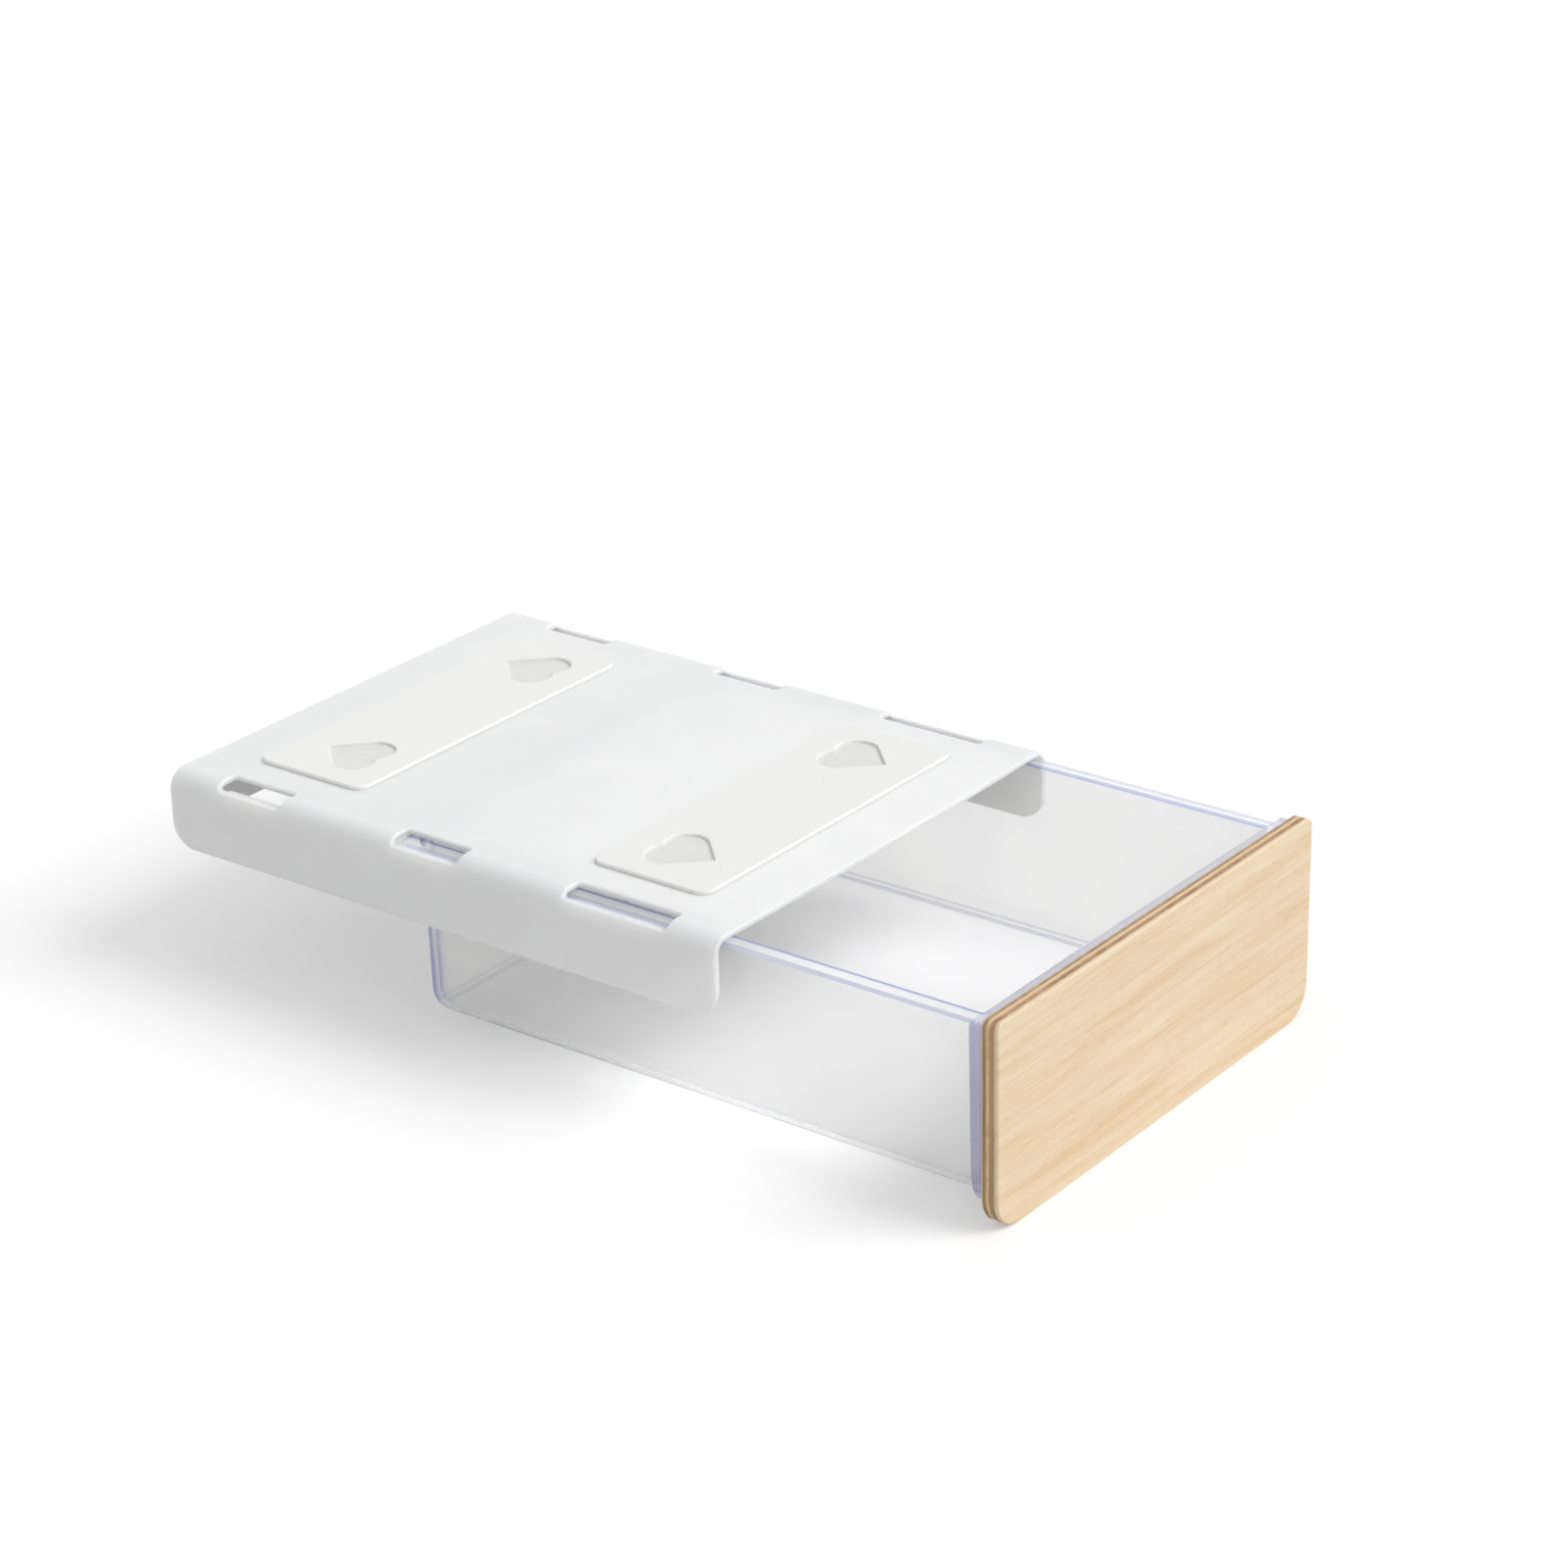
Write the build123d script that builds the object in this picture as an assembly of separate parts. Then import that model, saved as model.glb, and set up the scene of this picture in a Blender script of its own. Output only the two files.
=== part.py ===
from build123d import *
import os
from math import radians, sqrt, tan

# A drawer that sticks to the underside of a desk. A white moulded housing, an inverted U, is held up by two
# adhesive pads. A clear tub with a rim slides in it on moulded ledges, and carries a plywood front panel.
#
# Millimetres. X runs across, Y from the drawer's front (-Y) to the housing's rear (+Y), and Z is up. The
# origin is the middle of the front pad's upper face, in the plane of the desk's underside.

# Housing
HOUSING_WIDTH = 160.0
HOUSING_LENGTH = 202.0
SKIRT_DEPTH = 23.5  # from the plate's upper face to the skirts' lower edges
PLATE_THICKNESS = 1.6
SKIRT_THICKNESS = 2.0
CROWN_RADIUS = 6.0  # outside, where the plate turns down into a skirt
INNER_CROWN_RADIUS = 3.0
SKIRT_CORNER_RADIUS = 8.0  # the skirts' lower corners, seen from the side
FRONT_BOW = 0.8  # how far the plate's front edge bulges in the middle
REAR_WALL_THICKNESS = 1.8
REAR_WALL_DEPTH = 18.5  # from the plate's upper face to the rear wall's lower edge
HOUSING_EDGE_RADIUS = 0.6  # of the outer edges, seen in section

# Windows where plate and skirt meet. Each lets the mould reach over the ledge below it.
REAR_WINDOW_FROM_REAR = 18.2  # from the housing's rear edge to the rear window
MIDDLE_WINDOW_OFFSET = 3.5  # of the middle window behind the housing's middle
FRONT_WINDOW_FROM_FRONT = 17.8  # from the housing's front edge to the front window
SHORT_WINDOW_LENGTH = 24.2  # rear and middle windows
LONG_WINDOW_LENGTH = 36.2  # front window
WINDOW_INSET = 9.4  # from the housing's side to the window's inner edge
WINDOW_DROP = 2.3  # from the plate's upper face to the skirt's lip in a window
WINDOW_CORNER_RADIUS = 1.2
WINDOW_EDGE_CHAMFER = 0.4  # on the outer edges

# Ledges on the skirts, which carry the tub's rim
LEDGE_THICKNESS = 1.8
LEDGE_END_GAP = 0.3  # between a ledge's end and its window's end, seen from above
LEDGE_WALL_CLEARANCE = 0.6  # between a ledge's inner edge and the tub's side

# Adhesive pads: foam with hearts cut out of it, on a layer of adhesive without holes
PAD_LENGTH = 119.0
PAD_WIDTH = 40.5
PAD_THICKNESS = 0.9
ADHESIVE_THICKNESS = 0.3
PAD_CORNER_RADIUS = 4.0
PAD_EDGE_CHAMFER = 0.2  # on the upper edges
FRONT_PAD_FROM_FRONT = 39.0  # from the housing's front edge to the pad's centre line
REAR_PAD_FROM_REAR = 36.8
HEART_SQUARE = 12.9  # side of the square between a heart's two lobes
HEART_SPACING = 81.0

# Tub
DRAWER_OUT = 80.8  # how far the drawer is pulled out of the housing
RIM_HEAD_CLEARANCE = 0.5  # between the rim and the plate above it
RIM_LEDGE_CLEARANCE = 0.15  # between the rim and the ledge below it
RIM_SIDE_CLEARANCE = 1.55  # between the rim's edge and the rounding inside the crown
RIM_WIDTH = 4.6  # from the tub's mouth to the rim's outer edge
RIM_THICKNESS = 1.5
RIM_CORNER_RADIUS = 4.0
RIM_EDGE_CHAMFER = 0.3  # on the rim's outer edges
TUB_END_CLEARANCE = 2.6  # behind the rim when the drawer is closed
TUB_DEPTH = 54.5  # from the rim's upper face to the underside
TUB_WALL = 2.2
TUB_FLOOR = 1.8
TUB_DRAFT = 1.0  # degrees
TUB_CORNER_RADIUS = 8.5  # outside, between the side walls and the rear wall, at the rim
TUB_EDGE_RADIUS = 7.5  # outside, between walls and floor
TUB_INNER_EDGE_RADIUS = 5.5
REAR_RIM_OVERHANG = 2.0  # of the rim over the rear wall
BAND_DEPTH = 8.5  # from the rim's upper face to the foot of the thicker band round the walls
BAND_THICKNESS = 0.25  # how far that band stands out of the walls
FRONT_WALL_BOW = 1.3  # how far the front wall bulges into the tub in the middle

# Flange on the tub's front, the tape on it and the panel
FLANGE_THICKNESS = 3.4
FLANGE_PANEL_SIDE = 0.3  # how far the panel stands past the flange at each side, at the flange's top
FLANGE_PANEL_TOP = 1.8
FLANGE_PANEL_BOTTOM = 3.4
FLANGE_TAPER = 1.2  # how far each side runs in between the flange's top and its foot
FLANGE_TOP_RADIUS = 2.0
FLANGE_BOTTOM_RADIUS = 11.0
FLANGE_EDGE_CHAMFER = 0.5  # on the rear edges
TAPE_THICKNESS = 0.85
TAPE_INSET = 0.8  # from the flange's edge to the tape's edge
TAPE_CORNER_RADIUS = 3.0
PANEL_WIDTH = 157.8
PANEL_HEIGHT = 61.4
PANEL_DESK_GAP = 0.6  # between the desk and the panel's top edge
PANEL_TOP_RADIUS = 2.5
PANEL_BOTTOM_RADIUS = 10.0
PANEL_CHAMFER = 0.35
FRONT_VENEER_THICKNESS = 1.2
FRONT_CROSSBAND_THICKNESS = 1.5
CORE_THICKNESS = 1.1
BACK_CROSSBAND_THICKNESS = 1.0
BACK_VENEER_THICKNESS = 0.6

# Levels and places worked out from the sizes above
PLATE_TOP = -PAD_THICKNESS - ADHESIVE_THICKNESS
PLATE_UNDERSIDE = PLATE_TOP - PLATE_THICKNESS
SKIRT_BOTTOM = PLATE_TOP - SKIRT_DEPTH
HOUSING_FRONT = -FRONT_PAD_FROM_FRONT
HOUSING_REAR = HOUSING_FRONT + HOUSING_LENGTH
HOUSING_MIDDLE = (HOUSING_FRONT + HOUSING_REAR) / 2
BAY_HALF_WIDTH = HOUSING_WIDTH / 2 - SKIRT_THICKNESS
CROWN_DROP = max(INNER_CROWN_RADIUS - RIM_HEAD_CLEARANCE, 0)
CROWN_REACH = INNER_CROWN_RADIUS - sqrt(INNER_CROWN_RADIUS**2 - CROWN_DROP**2)
RIM_HALF_WIDTH = BAY_HALF_WIDTH - CROWN_REACH - RIM_SIDE_CLEARANCE
RIM_TOP = PLATE_UNDERSIDE - RIM_HEAD_CLEARANCE
RIM_UNDERSIDE = RIM_TOP - RIM_THICKNESS
LEDGE_TOP = RIM_UNDERSIDE - RIM_LEDGE_CLEARANCE
FLANGE_REAR = HOUSING_FRONT - DRAWER_OUT
FLANGE_FRONT = FLANGE_REAR - FLANGE_THICKNESS
PANEL_REAR = FLANGE_FRONT - TAPE_THICKNESS
TUB_LENGTH = HOUSING_LENGTH - REAR_WALL_THICKNESS - TUB_END_CLEARANCE
TUB_REAR = FLANGE_REAR + TUB_LENGTH
MOUTH_HALF_WIDTH = RIM_HALF_WIDTH - RIM_WIDTH
WALL_HALF_WIDTH = MOUTH_HALF_WIDTH + TUB_WALL
LEDGE_INNER_EDGE = WALL_HALF_WIDTH + BAND_THICKNESS + LEDGE_WALL_CLEARANCE
WINDOWS = (  # each window's rear end and its length
    (HOUSING_REAR - REAR_WINDOW_FROM_REAR, SHORT_WINDOW_LENGTH),
    (HOUSING_MIDDLE + MIDDLE_WINDOW_OFFSET + SHORT_WINDOW_LENGTH / 2, SHORT_WINDOW_LENGTH),
    (HOUSING_FRONT + FRONT_WINDOW_FROM_FRONT + LONG_WINDOW_LENGTH, LONG_WINDOW_LENGTH),
)
CUT = 5.0  # how far a cutting solid runs past what it cuts
TOUCH = 0.01  # points closer than this are taken as one


def block(x0, x1, y0, y1, z0, z1):
    """A box between two corners."""
    return Pos((x0 + x1) / 2, (y0 + y1) / 2, (z0 + z1) / 2) * Box(x1 - x0, y1 - y0, z1 - z0)


def bowed_strip(half_width, y, depth, bow, z0, z1):
    """A flat strip across X whose rear edge at y bulges by bow, and which runs forward by depth."""
    arc = ThreePointArc((-half_width, y), (0, y + bow), (half_width, y))
    rest = Polyline((half_width, y), (half_width, y - depth), (-half_width, y - depth), (-half_width, y))
    return extrude(Pos(0, 0, z0) * make_face(arc + rest), z1 - z0)


def mirrored(solid):
    return solid + mirror(solid, Plane.YZ)


def outer_block():
    """The housing's outside, solid, with its crowns, rounded skirt corners and bowed front edge."""
    half = HOUSING_WIDTH / 2
    flat_half = half - CROWN_RADIUS
    solid = block(-half, half, HOUSING_FRONT, HOUSING_REAR, SKIRT_BOTTOM, PLATE_TOP)
    solid = fillet(solid.edges().filter_by(Axis.Y).group_by(Axis.Z)[-1], CROWN_RADIUS)
    solid = fillet(solid.edges().filter_by(Axis.X).group_by(Axis.Z)[0], SKIRT_CORNER_RADIUS)
    bulge = bowed_strip(flat_half, 0, SKIRT_CORNER_RADIUS, FRONT_BOW, PLATE_UNDERSIDE, PLATE_TOP)
    solid += Pos(0, HOUSING_FRONT, 0) * mirror(bulge, Plane.XZ)
    front = [edge for edge in solid.edges() if edge.bounding_box().max.Y < HOUSING_FRONT + TOUCH]
    lip = [edge for edge in front if on_outer_face(edge)]
    sides = solid.faces().sort_by(Axis.X)
    rear = solid.faces().sort_by(Axis.Y)[-1]
    return fillet([*lip, *sides[0].edges(), *sides[-1].edges(), *rear.edges()], HOUSING_EDGE_RADIUS)


def on_outer_face(edge):
    """True for an edge in the plate's upper face or in a crown's outer rounding."""
    for part in (0, 0.5, 1):
        point = edge.position_at(part)
        past_flat = max(abs(point.X) - (HOUSING_WIDTH / 2 - CROWN_RADIUS), 0)
        level = PLATE_TOP - CROWN_RADIUS + sqrt(max(CROWN_RADIUS**2 - past_flat**2, 0))
        if abs(point.Z - level) > TOUCH:
            return False
    return True


def shell():
    """Plate and skirts with the rear wall, before windows and ledges."""
    wall_front = HOUSING_REAR - REAR_WALL_THICKNESS
    low = SKIRT_BOTTOM - CUT
    bay = block(-BAY_HALF_WIDTH, BAY_HALF_WIDTH, HOUSING_FRONT - CUT, wall_front, low, PLATE_UNDERSIDE)
    bay = fillet(bay.edges().filter_by(Axis.Y).group_by(Axis.Z)[-1], INNER_CROWN_RADIUS)
    wall_bottom = PLATE_TOP - REAR_WALL_DEPTH
    gap = block(-BAY_HALF_WIDTH, BAY_HALF_WIDTH, wall_front - CUT, HOUSING_REAR + CUT, low, wall_bottom)
    return outer_block() - bay - gap


def window(rear, length):
    """The opening cut through one crown, on the +X side."""
    inner = HOUSING_WIDTH / 2 - WINDOW_INSET
    lip = PLATE_TOP - WINDOW_DROP
    cut = block(inner, HOUSING_WIDTH / 2 + CUT, rear - length, rear, lip, PLATE_TOP + CUT)
    across = cut.edges().filter_by(Axis.X).group_by(Axis.Z)[0]
    upright = cut.edges().filter_by(Axis.Z).group_by(Axis.X)[0]
    return fillet(across + upright, WINDOW_CORNER_RADIUS)


def ledge(rear, length):
    """The ledge under one window, on the +X side, tapered on its underside."""
    root = BAY_HALF_WIDTH + SKIRT_THICKNESS / 2
    tip = LEDGE_INNER_EDGE
    foot = LEDGE_TOP - LEDGE_THICKNESS
    outline = [(tip, LEDGE_TOP), (root, LEDGE_TOP), (root, foot - LEDGE_THICKNESS), (tip, foot)]
    profile = make_face(Polyline(*[(x, 0, z) for x, z in outline], close=True))
    run = length - 2 * LEDGE_END_GAP
    return Pos(0, rear - LEDGE_END_GAP - run, 0) * extrude(profile, run, dir=(0, 1, 0))


def housing():
    solid = shell()
    for rear, length in WINDOWS:
        cut = mirrored(window(rear, length))
        opened = solid - cut
        rims = [edge for edge in new_edges(solid, cut, combined=opened) if on_outer_face(edge)]
        solid = chamfer(rims, WINDOW_EDGE_CHAMFER) + mirrored(ledge(rear, length))
    return solid


def heart():
    """A heart with its tip towards -Y: a square on its corner and two round lobes."""
    lobe = HEART_SQUARE / 2
    shift = lobe / sqrt(2)
    lobes = Pos(-shift, shift) * Circle(lobe) + Pos(shift, shift) * Circle(lobe)
    return Rot(0, 0, 45) * Rectangle(HEART_SQUARE, HEART_SQUARE) + lobes


def pad_outline():
    return RectangleRounded(PAD_LENGTH, PAD_WIDTH, PAD_CORNER_RADIUS)


def adhesive_pad():
    """A pad with two heart-shaped holes, its upper face at Z 0 and its middle at X 0, Y 0."""
    outline = pad_outline()
    for side in (-1, 1):
        outline -= Pos(side * HEART_SPACING / 2, 0) * heart()
    pad = extrude(outline, -PAD_THICKNESS)
    return chamfer(pad.edges().group_by(Axis.Z)[-1], PAD_EDGE_CHAMFER)


def adhesive_layer():
    """The adhesive between a pad and the housing's plate."""
    return Pos(0, 0, -PAD_THICKNESS) * extrude(pad_outline(), -ADHESIVE_THICKNESS)


def drafted(half_width, rear, top, drop, corner_radius):
    """A block that narrows downwards by the draft. It runs from rear to well past the flange's front."""
    inset = drop * tan(radians(TUB_DRAFT))
    front = FLANGE_REAR - corner_radius - 2 * FLANGE_THICKNESS
    middle = (front + rear) / 2
    upper = RectangleRounded(2 * half_width, rear - front, corner_radius)
    lower = RectangleRounded(2 * (half_width - inset), rear - front - 2 * inset, corner_radius - inset)
    return loft([Pos(0, middle, top) * upper, Pos(0, middle, top - drop) * lower], ruled=True)


def rim():
    """The out-turned rim, which runs forwards into the flange."""
    front = FLANGE_REAR - FLANGE_THICKNESS / 2
    outline = Pos(0, (front + TUB_REAR) / 2) * Rectangle(2 * RIM_HALF_WIDTH, TUB_REAR - front)
    outline = fillet(outline.vertices().group_by(Axis.Y)[-1], RIM_CORNER_RADIUS)
    plate = Pos(0, 0, RIM_UNDERSIDE) * extrude(outline, RIM_THICKNESS)
    around = plate.edges().group_by(Axis.Z)
    broken = [edge for edge in around[0] + around[-1] if edge.bounding_box().max.Y > front + TOUCH]
    return chamfer(broken, RIM_EDGE_CHAMFER)


def cavity(wall_rear, corner_radius):
    """The space inside the tub, whose front wall bulges into it."""
    space = drafted(MOUTH_HALF_WIDTH, wall_rear, RIM_TOP, TUB_DEPTH - TUB_FLOOR, corner_radius)
    space -= bowed_strip(
        HOUSING_WIDTH / 2, FLANGE_REAR, HOUSING_LENGTH, FRONT_WALL_BOW, RIM_TOP - TUB_DEPTH, RIM_TOP
    )
    return fillet(space.edges().group_by(Axis.Z)[0], TUB_INNER_EDGE_RADIUS)


def tub():
    wall_rear = TUB_REAR - REAR_RIM_OVERHANG
    body = drafted(WALL_HALF_WIDTH, wall_rear, RIM_TOP, TUB_DEPTH, TUB_CORNER_RADIUS)
    body = fillet(body.edges().group_by(Axis.Z)[0], TUB_EDGE_RADIUS)
    band_half_width = WALL_HALF_WIDTH + BAND_THICKNESS
    band = drafted(band_half_width, wall_rear + BAND_THICKNESS, RIM_TOP, BAND_DEPTH, TUB_CORNER_RADIUS)
    front = FLANGE_REAR - FLANGE_THICKNESS / 2
    ahead = block(-HOUSING_WIDTH, HOUSING_WIDTH, front - HOUSING_LENGTH, front, RIM_TOP - 2 * TUB_DEPTH, CUT)
    space = cavity(wall_rear - TUB_WALL, TUB_CORNER_RADIUS - TUB_WALL)
    return body + band + rim() - ahead + flange() - space


def upright_plate(outline, rear, thickness):
    """A plate in the XZ plane, from rear forwards by thickness."""
    return extrude(Plane.XZ.offset(-rear) * outline, thickness)


def rounded_outline(half_width, taper, bottom, top, top_radius, bottom_radius):
    """A front outline, X by Z, with two upper and two lower corner radii, narrower at the foot by the taper."""
    foot = half_width - taper
    outline = make_face(
        Polyline((-half_width, top), (half_width, top), (foot, bottom), (-foot, bottom), close=True)
    )
    outline = fillet(outline.vertices().group_by(Axis.Y)[-1], top_radius)
    return fillet(outline.vertices().group_by(Axis.Y)[0], bottom_radius)


def panel_levels():
    top = -PANEL_DESK_GAP
    return top - PANEL_HEIGHT, top


def flange():
    bottom, top = panel_levels()
    outline = rounded_outline(
        PANEL_WIDTH / 2 - FLANGE_PANEL_SIDE,
        FLANGE_TAPER,
        bottom + FLANGE_PANEL_BOTTOM,
        top - FLANGE_PANEL_TOP,
        FLANGE_TOP_RADIUS,
        FLANGE_BOTTOM_RADIUS,
    )
    plate = upright_plate(outline, FLANGE_REAR, FLANGE_THICKNESS)
    return chamfer(plate.faces().sort_by(Axis.Y)[-1].edges(), FLANGE_EDGE_CHAMFER)


def panel_tape():
    bottom, top = panel_levels()
    outline = rounded_outline(
        PANEL_WIDTH / 2 - FLANGE_PANEL_SIDE - TAPE_INSET,
        FLANGE_TAPER,
        bottom + FLANGE_PANEL_BOTTOM + TAPE_INSET,
        top - FLANGE_PANEL_TOP - TAPE_INSET,
        TAPE_CORNER_RADIUS,
        FLANGE_BOTTOM_RADIUS - TAPE_INSET,
    )
    return upright_plate(outline, FLANGE_FRONT, TAPE_THICKNESS)


def ply(rear, thickness):
    """One layer of the plywood panel."""
    bottom, top = panel_levels()
    outline = rounded_outline(PANEL_WIDTH / 2, 0, bottom, top, PANEL_TOP_RADIUS, PANEL_BOTTOM_RADIUS)
    return upright_plate(outline, rear, thickness)


def plies():
    """The panel's five layers by name, from the tape forwards, with both outer edges broken."""
    layers = {}
    rear = PANEL_REAR
    for name, thickness in (
        ("back_veneer", BACK_VENEER_THICKNESS),
        ("back_crossband", BACK_CROSSBAND_THICKNESS),
        ("core_ply", CORE_THICKNESS),
        ("front_crossband", FRONT_CROSSBAND_THICKNESS),
        ("front_veneer", FRONT_VENEER_THICKNESS),
    ):
        layers[name] = ply(rear, thickness)
        rear -= thickness
    back, front = layers["back_veneer"], layers["front_veneer"]
    layers["back_veneer"] = chamfer(back.faces().sort_by(Axis.Y)[-1].edges(), PANEL_CHAMFER)
    layers["front_veneer"] = chamfer(front.faces().sort_by(Axis.Y)[0].edges(), PANEL_CHAMFER)
    return layers


def main():
    rear_pad_place = Pos(0, HOUSING_REAR - REAR_PAD_FROM_REAR, 0) * Rot(0, 0, 180)
    parts = {
        "housing": housing(),
        "front_adhesive_pad": adhesive_pad(),
        "front_adhesive_layer": adhesive_layer(),
        "rear_adhesive_pad": rear_pad_place * adhesive_pad(),
        "rear_adhesive_layer": rear_pad_place * adhesive_layer(),
        "drawer_tub": tub(),
        "panel_tape": panel_tape(),
        **plies(),
    }
    os.makedirs("parts", exist_ok=True)
    for name, solid in parts.items():
        export_step(solid, f"parts/{name}.step")


main()
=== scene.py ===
from math import cos, radians, sin

import bpy
from mathutils import Matrix, Vector


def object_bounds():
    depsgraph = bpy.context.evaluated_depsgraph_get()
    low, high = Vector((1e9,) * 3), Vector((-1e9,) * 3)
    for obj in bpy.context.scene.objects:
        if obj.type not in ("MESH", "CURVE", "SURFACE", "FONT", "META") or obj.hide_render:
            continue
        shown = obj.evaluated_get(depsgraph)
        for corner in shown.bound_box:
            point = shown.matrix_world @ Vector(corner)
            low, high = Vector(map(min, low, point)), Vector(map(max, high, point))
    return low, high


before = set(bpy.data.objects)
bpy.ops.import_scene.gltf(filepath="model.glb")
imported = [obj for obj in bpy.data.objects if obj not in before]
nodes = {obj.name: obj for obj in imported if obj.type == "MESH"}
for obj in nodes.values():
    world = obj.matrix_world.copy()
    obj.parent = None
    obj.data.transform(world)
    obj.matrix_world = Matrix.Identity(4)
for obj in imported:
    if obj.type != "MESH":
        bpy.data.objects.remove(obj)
cad_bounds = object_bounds()

# Camera: where the photograph was taken from, in metres. The target is near the object's middle.
CAMERA_TARGET = Vector((0.0, 0.013, -0.0212))
CAMERA_YAW = radians(52.69)  # from the +Y direction towards +X
CAMERA_PITCH = radians(23.58)  # down
CAMERA_ROLL = radians(-1.2)
CAMERA_DISTANCE = 1.19916
CAMERA_RIGHT = 0.01197  # how far the camera stands off the line to the target
CAMERA_UP = 0.02206
CAMERA_LENS = 95.34  # mm
SENSOR_WIDTH = 36  # mm
CLIP_END = 50

# Studio
FLOOR_SIZE = 12.0
FLOOR_GAP = 0.0002  # between the object's lowest point and the floor
FLOOR_COLOUR = 0.72
FLOOR_GLOW = 0.33  # what camera, glossy and transmission rays see beside the light that the floor reflects
SKY_LIGHT = 0.58  # on the object and the floor
SKY_SEEN = 1.0  # by camera, glossy and transmission rays
SUN_STRENGTH = 1.7
SUN_ANGLE = radians(35)  # as wide as a large soft box
SUN_FROM = Vector((0.3, -0.65, 0.7))

# The clear plastic
LAMP_SHARE = 0.96  # of the lamps' light, that each face lets through
# How far a face has turned away from the eye, from 0 to 1, where a tint begins and where it is full
TURNED = (0.2, 0.6)  # in the rear corners
GRAZING = (0.62, 0.95)  # on every rounded edge
GRAZING_TINT = 0.8  # how much of that tint shows

# Where the clear plastic is tinted, in millimetres in the part's frame
RIM_SIDE = 74.85  # the rim's outer edge lies beyond this, across
RIM_BACK = 77.5  # and beyond this, to the rear
MOUTH_EDGE = (70.2, 71.7)  # a strip along the mouth, across
MOUTH_LOW = -4.0
CORNER_SIDE = (64.5, 67.5)  # where the rear corners' tint begins and is full, across
CORNER_BACK = (70.0, 73.0)
CORNER_TOP = -6.0
CORNER_DRAFT = 0.05  # how much further in that tint lies for each millimetre down
FOOT_LINE = (-55.6, -54.9)  # just above the tub's floor, where a painted shade line runs along the inner corner of floor and walls
FLANGE_BACK = -119.7
FLANGE_HEIGHT = (-58.0, -3.0)  # from its foot to its top
FLANGE_TINT = (0.75, 0.6)  # at its foot and at its top

# Tints of the clear plastic, and the painted shade line at its foot, from 0 to 255
RIM_LILAC = (208, 210, 238)
CORNER_LILAC = (140, 148, 220)
GRAZING_LILAC = (188, 190, 224)
MOUTH_LILAC = (176, 180, 226)
FLANGE_LILAC = (222, 220, 248)
FOOT_GREY = (248, 248, 249)
# painted shade: a grey line where the tub's floor meets its walls
FOOT_SHADE_LINE = (206, 206, 216)

# Wood: the growth bands and the fibres add up to the tone, which goes from dark to light over these stops
BAND_SHARE = 0.6
FIBRE_SHARE = 0.4
TONE_STOPS = (0.36, 0.5, 0.62)
MIDDLE_TONE = 0.65  # how light the middle stop is, from dark to light
PORE_LEVELS = (0.60, 0.72)  # the noise between which a pore opens
PORE_DEPTH = 0.5  # how much of the pores' colour shows
PORE_COLOUR = (0.1, 0.06, 0.03, 1)
PORE_SHARE = 0.45  # of that in the dark tone

UNIT = (0.0, 1.0)  # the range of a factor
MM = 1000.0  # object coordinates are in metres, and textures are set in millimetres


def linear(r, g, b):
    """A colour written as 0 to 255 per channel, as the linear values that shaders take."""
    def channel(v):
        v /= 255
        return v / 12.92 if v <= 0.04045 else ((v + 0.055) / 1.055) ** 2.4

    return (channel(r), channel(g), channel(b), 1.0)


def blended(first, second, share):
    """The colour that lies that share of the way from first to second."""
    return tuple(a + (b - a) * share for a, b in zip(first, second))


class Tree:
    """A node tree, with short names for what the materials and the sky need."""

    def __init__(self, tree):
        self.tree = tree

    def node(self, kind, **values):
        made = self.tree.nodes.new(kind)
        for key, value in values.items():
            setattr(made, key, value)
        return made

    def join(self, source, target):
        self.tree.links.new(source, target)

    def math(self, operation, first, second):
        node = self.node("ShaderNodeMath", operation=operation)
        for value, target in ((first, node.inputs[0]), (second, node.inputs[1])):
            if isinstance(value, (int, float)):
                target.default_value = value
            else:
                self.join(value, target)
        return node.outputs[0]

    def above(self, value, limit):
        """1 where value is over limit, else 0."""
        return self.math("GREATER_THAN", value, limit)

    def below(self, value, limit):
        """1 where value is under limit, else 0."""
        return self.math("LESS_THAN", value, limit)

    def within(self, value, low, high):
        """1 where value lies between low and high, else 0."""
        return self.math("MULTIPLY", self.above(value, low), self.below(value, high))

    def remap(self, value, start, end):
        """Carries value from the range start over to the range end, and keeps it in there."""
        remap = self.node("ShaderNodeMapRange", clamp=True)
        for name, number in zip(("From Min", "From Max", "To Min", "To Max"), (*start, *end)):
            remap.inputs[name].default_value = number
        self.join(value, remap.inputs["Value"])
        return remap.outputs["Result"]

    def backdrop_ray(self):
        """1 for the rays that show the backdrop, from the camera or by way of gloss or glass, else 0."""
        path = self.node("ShaderNodeLightPath")
        seen = path.outputs["Is Camera Ray"]
        for name in ("Is Glossy Ray", "Is Transmission Ray"):
            seen = self.math("MAXIMUM", seen, path.outputs[name])
        return seen


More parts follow.
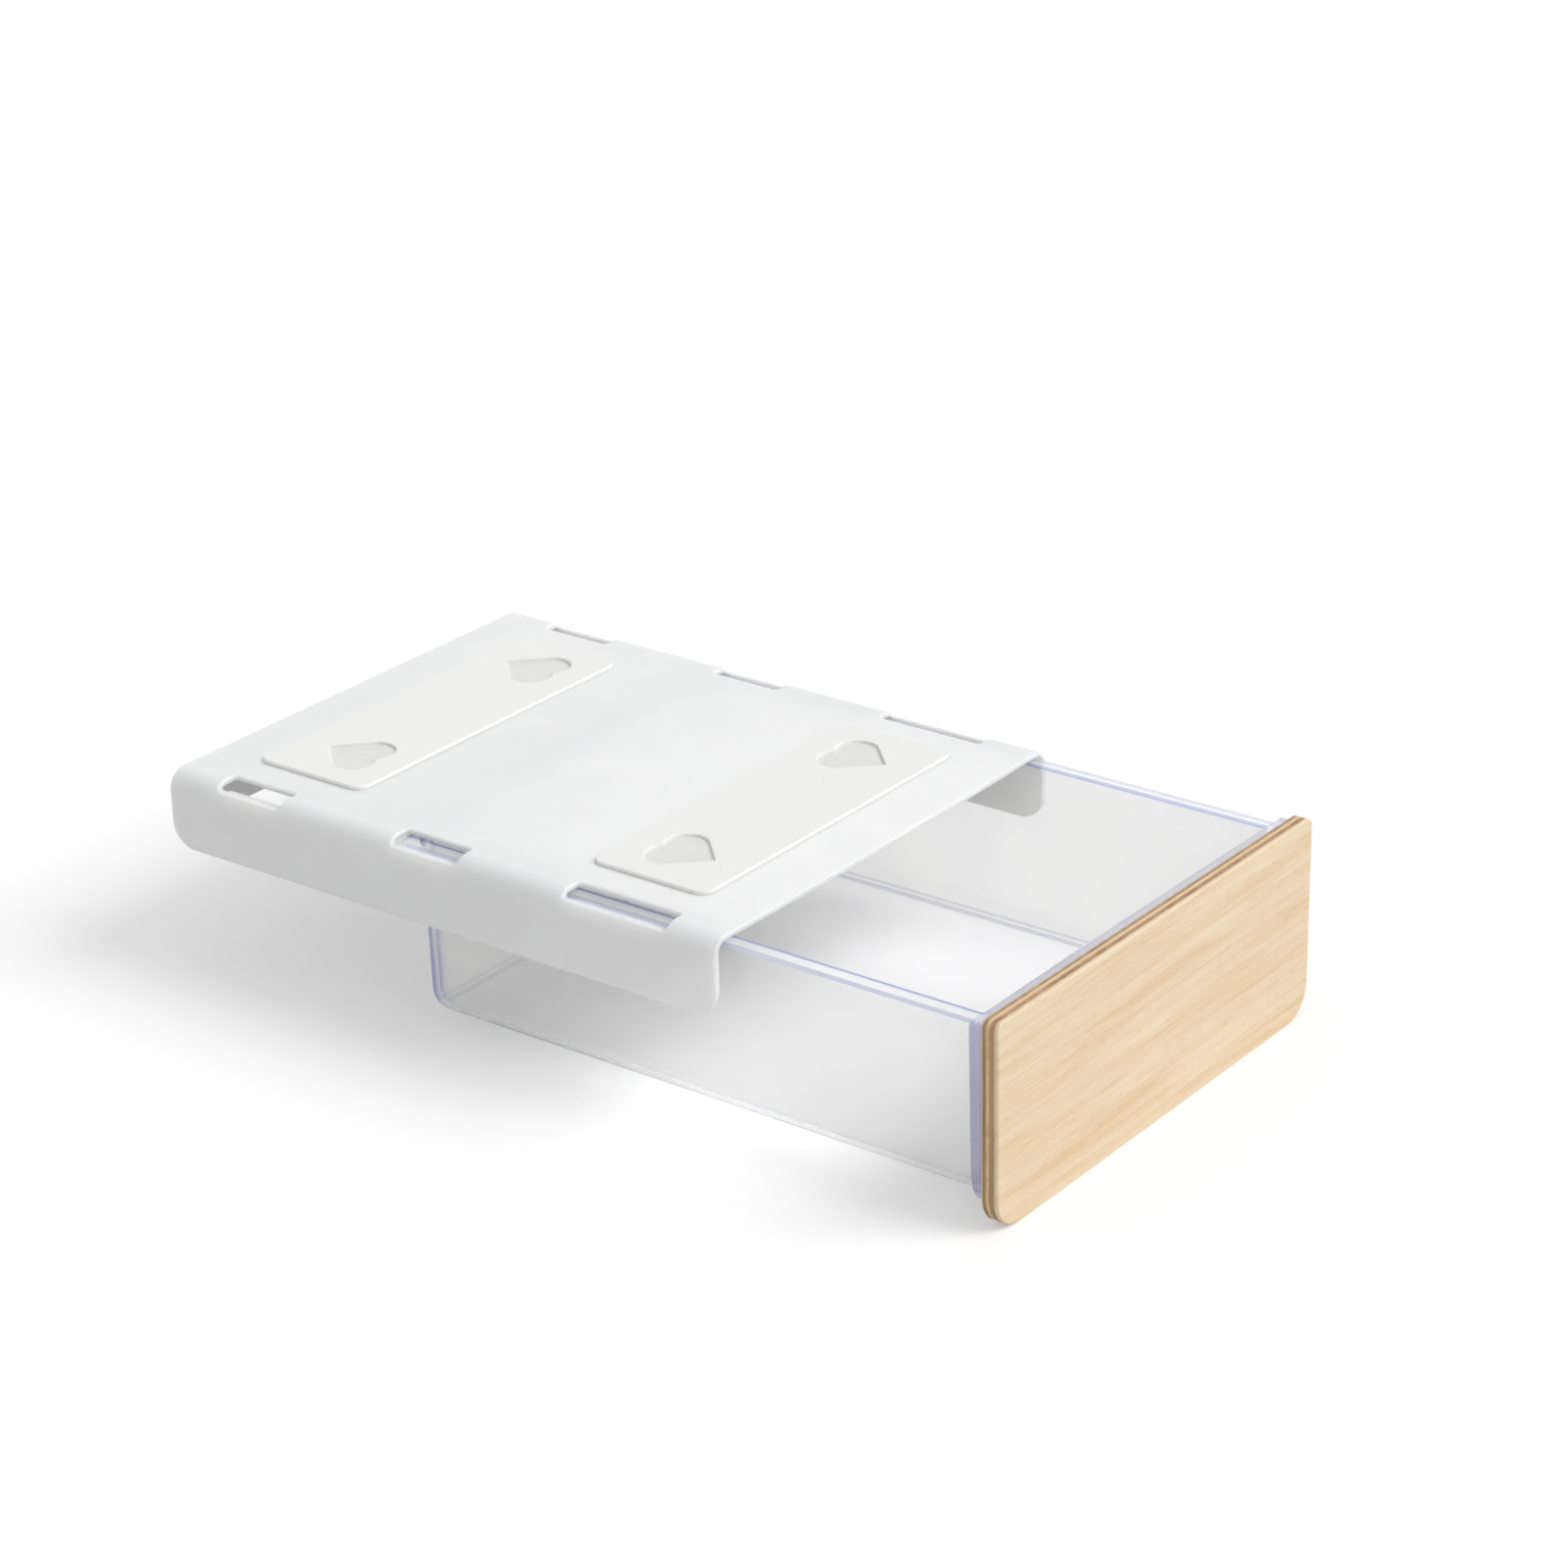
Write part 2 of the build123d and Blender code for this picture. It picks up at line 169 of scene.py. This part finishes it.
class Shader(Tree):
    """One material with a Principled node. Textures have object coordinates in millimetres."""

    def __init__(self, name):
        self.material = bpy.data.materials.new(name)
        self.material.use_nodes = True
        super().__init__(self.material.node_tree)
        self.tree.nodes.clear()
        self.out = self.node("ShaderNodeOutputMaterial")
        self.principled = self.node("ShaderNodeBsdfPrincipled")
        self.join(self.principled.outputs["BSDF"], self.out.inputs["Surface"])

    def set(self, **values):
        for key, value in values.items():
            self.principled.inputs[key.replace("_", " ")].default_value = value

    def place(self, scale=(1, 1, 1)):
        """Object coordinates in millimetres, stretched by scale."""
        coordinates = self.node("ShaderNodeTexCoord")
        mapping = self.node("ShaderNodeMapping")
        mapping.inputs["Scale"].default_value = [MM * s for s in scale]
        self.join(coordinates.outputs["Object"], mapping.inputs["Vector"])
        return mapping.outputs["Vector"]

    def noise(self, vector, scale, detail=2.0, roughness=0.5, distortion=0.0):
        noise = self.node("ShaderNodeTexNoise")
        noise.inputs["Scale"].default_value = scale
        noise.inputs["Detail"].default_value = detail
        noise.inputs["Roughness"].default_value = roughness
        noise.inputs["Distortion"].default_value = distortion
        self.join(vector, noise.inputs["Vector"])
        return noise.outputs["Fac"]

    def ramp(self, factor, *stops):
        """A colour ramp through (place, colour) stops."""
        ramp = self.node("ShaderNodeValToRGB")
        elements = ramp.color_ramp.elements
        while len(elements) < len(stops):
            elements.new(0.5)
        for element, (place, colour) in zip(elements, stops):
            element.position = place
            element.color = colour
        self.join(factor, ramp.inputs["Fac"])
        return ramp.outputs["Color"]

    def tint(self, factor, colour, target):
        """A colour that goes over to the plain colour target, by factor."""
        mix = self.node("ShaderNodeMix", data_type="RGBA")
        first, second = (s for s in mix.inputs if s.type == "RGBA")
        self.join(factor, next(s for s in mix.inputs if s.name == "Factor"))
        self.join(colour, first)
        second.default_value = target
        return next(s for s in mix.outputs if s.type == "RGBA")

    def paint(self, colour):
        self.join(colour, self.principled.inputs["Base Color"])

    def roughen(self, factor, low, high):
        """Sets the roughness from low, where factor is 0, to high, where it is 1."""
        self.join(self.remap(factor, UNIT, (low, high)), self.principled.inputs["Roughness"])

    def bump(self, height, depth_mm):
        bump = self.node("ShaderNodeBump")
        bump.inputs["Strength"].default_value = 1.0
        bump.inputs["Distance"].default_value = depth_mm / MM
        self.join(height, bump.inputs["Height"])
        self.join(bump.outputs["Normal"], self.principled.inputs["Normal"])


def moulded_white():
    """Matt white plastic with a fine spark-eroded grain and slight unevenness."""
    shader = Shader("housing_white")
    place = shader.place()
    cloud = shader.noise(place, 0.03, detail=3)
    shader.paint(shader.ramp(cloud, (0.3, linear(241, 241, 241)), (0.7, linear(245, 245, 244))))
    grain = shader.noise(place, 3.0, detail=3, roughness=0.6)
    shader.roughen(grain, 0.42, 0.56)
    shader.bump(grain, 0.012)
    shader.set(IOR=1.5, Subsurface_Weight=1.0, Subsurface_Radius=(1, 0.95, 0.9), Subsurface_Scale=0.0035)
    return shader.material


def foam_pad():
    """Pale grey foam pad with a smooth adhesive face, faintly dimpled."""
    shader = Shader("adhesive_foam")
    place = shader.place()
    cells = shader.noise(place, 1.1, detail=4, roughness=0.65)
    shader.paint(shader.ramp(cells, (0.3, linear(239, 239, 238)), (0.75, linear(245, 245, 244))))
    shader.roughen(cells, 0.4, 0.6)
    shader.bump(shader.noise(place, 0.6, detail=3), 0.03)
    return shader.material


def grey_adhesive():
    """The adhesive under the pads, greyish and a little wavy, seen through the hearts."""
    shader = Shader("adhesive_film")
    waves = shader.noise(shader.place(), 0.35, detail=3)
    shader.paint(shader.ramp(waves, (0.3, linear(224, 224, 221)), (0.75, linear(230, 230, 228))))
    shader.roughen(waves, 0.25, 0.4)
    shader.bump(waves, 0.04)
    return shader.material


def clear_plastic():
    """Clear moulded plastic, a little hazy, whose rim, flange and rounded edges look lilac, with a painted
    shade line just above its floor.
    """
    shader = Shader("clear_plastic")
    shader.set(Transmission_Weight=0.8, IOR=1.06, Coat_Weight=1.0, Coat_Roughness=0.1, Coat_IOR=1.45)
    place = shader.place()
    flow = shader.noise(place, 0.05, detail=3)
    split = shader.node("ShaderNodeSeparateXYZ")
    shader.join(place, split.inputs["Vector"])
    across = shader.math("ABSOLUTE", split.outputs["X"], 0)
    back, up = split.outputs["Y"], split.outputs["Z"]

    rim = shader.math("MAXIMUM", shader.above(across, RIM_SIDE), shader.above(back, RIM_BACK))
    corner = shader.math("MULTIPLY", rear_corner(shader, across, back, up), turned_away(shader, TURNED))
    grazing = shader.math("MULTIPLY", turned_away(shader, GRAZING), GRAZING_TINT)
    mouth = shader.math("MULTIPLY", shader.within(across, *MOUTH_EDGE), shader.above(up, MOUTH_LOW))
    depth = shader.remap(up, FLANGE_HEIGHT, FLANGE_TINT)
    colour = shader.ramp(flow, (0.3, linear(250, 250, 250)), (0.7, linear(253, 253, 252)))
    for factor, target in (
        (rim, RIM_LILAC),
        (corner, CORNER_LILAC),
        (grazing, GRAZING_LILAC),
        (mouth, MOUTH_LILAC),
        (shader.below(up, FOOT_LINE[1]), FOOT_GREY),
        # a painted shade line just above the tub's floor, where floor and walls meet
        (shader.within(up, *FOOT_LINE), FOOT_SHADE_LINE),
        (shader.math("MULTIPLY", shader.below(back, FLANGE_BACK), depth), FLANGE_LILAC),
    ):
        colour = shader.tint(factor, colour, linear(*target))
    shader.paint(colour)
    shader.roughen(flow, 0.08, 0.16)
    shader.bump(shader.noise(place, 0.09, detail=2), 0.02)
    let_through_lamps(shader)
    return shader.material


def rear_corner(shader, across, back, up):
    """Rises to 1 in the tub's two upright rear corners, below the rim."""
    drawn_in = shader.math("MULTIPLY", up, -CORNER_DRAFT)
    side = shader.remap(shader.math("ADD", across, drawn_in), CORNER_SIDE, UNIT)
    rear = shader.remap(shader.math("ADD", back, drawn_in), CORNER_BACK, UNIT)
    return shader.math("MULTIPLY", shader.math("MULTIPLY", side, rear), shader.below(up, CORNER_TOP))


def turned_away(shader, levels):
    """Rises from 0 to 1 over levels as the surface turns away, as it does on the tub's rounded edges."""
    facing = shader.node("ShaderNodeLayerWeight")
    facing.inputs["Blend"].default_value = 0.5  # at which Facing is 1 less the cosine
    return shader.remap(facing.outputs["Facing"], levels, UNIT)


def let_through_lamps(shader):
    """Lets the lamps' light through, so that what is behind the piece is lit."""
    path = shader.node("ShaderNodeLightPath")
    clear = shader.node("ShaderNodeBsdfTransparent")
    mix = shader.node("ShaderNodeMixShader")
    shader.join(shader.math("MULTIPLY", path.outputs["Is Shadow Ray"], LAMP_SHARE), mix.inputs["Fac"])
    shader.join(shader.principled.outputs["BSDF"], mix.inputs[1])
    shader.join(clear.outputs["BSDF"], mix.inputs[2])
    shader.join(mix.outputs["Shader"], shader.out.inputs["Surface"])


def clear_tape():
    """Clear acrylic mounting tape with fine bubbles, coloured by the veneer that shows through it."""
    shader = Shader("clear_tape")
    bubbles = shader.noise(shader.place(), 1.5, detail=3)
    shader.paint(shader.ramp(bubbles, (0.3, linear(240, 226, 204)), (0.7, linear(248, 237, 218))))
    shader.roughen(bubbles, 0.25, 0.4)
    let_through_lamps(shader)
    return shader.material


def wood(name, light, dark, grain_axis):
    """Wood whose grain runs along grain_axis, 'X' or 'Z': growth bands, fine fibres and short open pores."""
    shader = Shader(name)

    def stretched(along, across):
        return shader.place((along, across, across) if grain_axis == "X" else (across, across, along))

    bands = shader.noise(stretched(0.012, 0.24), 1.0, detail=3, roughness=0.55, distortion=0.5)
    fibres = shader.noise(stretched(0.05, 2.2), 1.0, detail=5, roughness=0.6, distortion=0.2)
    dashes = shader.noise(stretched(0.22, 3.6), 1.0, detail=2, roughness=0.5)
    tone = shader.math(
        "ADD", shader.math("MULTIPLY", bands, BAND_SHARE), shader.math("MULTIPLY", fibres, FIBRE_SHARE)
    )
    colour = shader.ramp(tone, *zip(TONE_STOPS, (dark, blended(dark, light, MIDDLE_TONE), light)))
    pores = shader.remap(dashes, PORE_LEVELS, (0.0, PORE_DEPTH))
    shader.paint(shader.tint(pores, colour, blended(dark, PORE_COLOUR, PORE_SHARE)))
    shader.roughen(fibres, 0.62, 0.42)
    shader.bump(shader.math("SUBTRACT", fibres, pores), 0.03)
    return shader.material


def dress(material, *names):
    """Gives the CAD nodes of those names the material."""
    for name in names:
        nodes[name].data.materials.clear()
        nodes[name].data.materials.append(material)


def dress_all():
    dress(moulded_white(), "housing")
    dress(foam_pad(), "front_adhesive_pad", "rear_adhesive_pad")
    dress(grey_adhesive(), "front_adhesive_layer", "rear_adhesive_layer")
    dress(clear_plastic(), "drawer_tub")
    dress(clear_tape(), "panel_tape")
    dress(wood("face_wood", linear(240, 219, 188), linear(226, 196, 154), "X"), "front_veneer")
    dress(wood("back_wood", linear(232, 208, 176), linear(206, 174, 134), "X"), "back_veneer")
    dark = wood("dark_wood", linear(194, 158, 118), linear(142, 110, 76), "Z")
    dress(dark, "back_crossband", "front_crossband")
    dress(wood("light_wood", linear(236, 206, 164), linear(204, 170, 128), "X"), "core_ply")


def floor():
    """A plain pale floor that keeps the object's shadow."""
    shader = Shader("floor")
    shader.tree.nodes.remove(shader.principled)
    lit = shader.node("ShaderNodeBsdfDiffuse")
    lit.inputs["Color"].default_value = (FLOOR_COLOUR, FLOOR_COLOUR, FLOOR_COLOUR, 1)
    glow = shader.node("ShaderNodeEmission")
    shader.join(shader.math("MULTIPLY", shader.backdrop_ray(), FLOOR_GLOW), glow.inputs["Strength"])
    both = shader.node("ShaderNodeAddShader")
    shader.join(lit.outputs["BSDF"], both.inputs[0])
    shader.join(glow.outputs["Emission"], both.inputs[1])
    shader.join(both.outputs["Shader"], shader.out.inputs["Surface"])
    half = FLOOR_SIZE / 2
    corners = [(-half, -half, 0), (half, -half, 0), (half, half, 0), (-half, half, 0)]
    mesh = bpy.data.meshes.new("floor")
    mesh.from_pydata(corners, [], [(0, 1, 2, 3)])
    mesh.materials.append(shader.material)
    plane = bpy.data.objects.new("floor", mesh)
    plane.location.z = cad_bounds[0][2] - FLOOR_GAP
    bpy.context.scene.collection.objects.link(plane)


def sky():
    """White wherever it is seen, and softer where it lights the scene."""
    world = bpy.data.worlds.new("studio")
    world.use_nodes = True
    tree = Tree(world.node_tree)
    background = world.node_tree.nodes["Background"]
    background.inputs["Color"].default_value = (1, 1, 1, 1)
    level = tree.remap(tree.backdrop_ray(), UNIT, (SKY_LIGHT, SKY_SEEN))
    tree.join(level, background.inputs["Strength"])
    bpy.context.scene.world = world


def key_light():
    """A wide soft light from the front right, above."""
    data = bpy.data.lights.new("key", "SUN")
    data.energy = SUN_STRENGTH
    data.angle = SUN_ANGLE
    lamp = bpy.data.objects.new("key", data)
    lamp.rotation_euler = (-SUN_FROM).to_track_quat("-Z", "Y").to_euler()
    bpy.context.scene.collection.objects.link(lamp)


def camera():
    """A camera where the photograph's was."""
    level = cos(CAMERA_PITCH)
    away = Vector((-sin(CAMERA_YAW) * level, -cos(CAMERA_YAW) * level, sin(CAMERA_PITCH)))
    right = (-away).cross(Vector((0, 0, 1))).normalized()
    up = right.cross(-away)
    turned_right = cos(CAMERA_ROLL) * right + sin(CAMERA_ROLL) * up
    turned_up = cos(CAMERA_ROLL) * up - sin(CAMERA_ROLL) * right
    place = CAMERA_TARGET + away * CAMERA_DISTANCE + turned_right * CAMERA_RIGHT + turned_up * CAMERA_UP
    data = bpy.data.cameras.new("camera")
    data.lens = CAMERA_LENS
    data.sensor_width = SENSOR_WIDTH
    data.clip_end = CLIP_END
    view = bpy.data.objects.new("camera", data)
    axes = Matrix((turned_right, turned_up, away)).transposed()
    view.matrix_world = Matrix.Translation(place) @ axes.to_4x4()
    bpy.context.scene.collection.objects.link(view)
    bpy.context.scene.camera = view


dress_all()
floor()
sky()
key_light()
camera()
bpy.context.scene.view_settings.view_transform = "Standard"
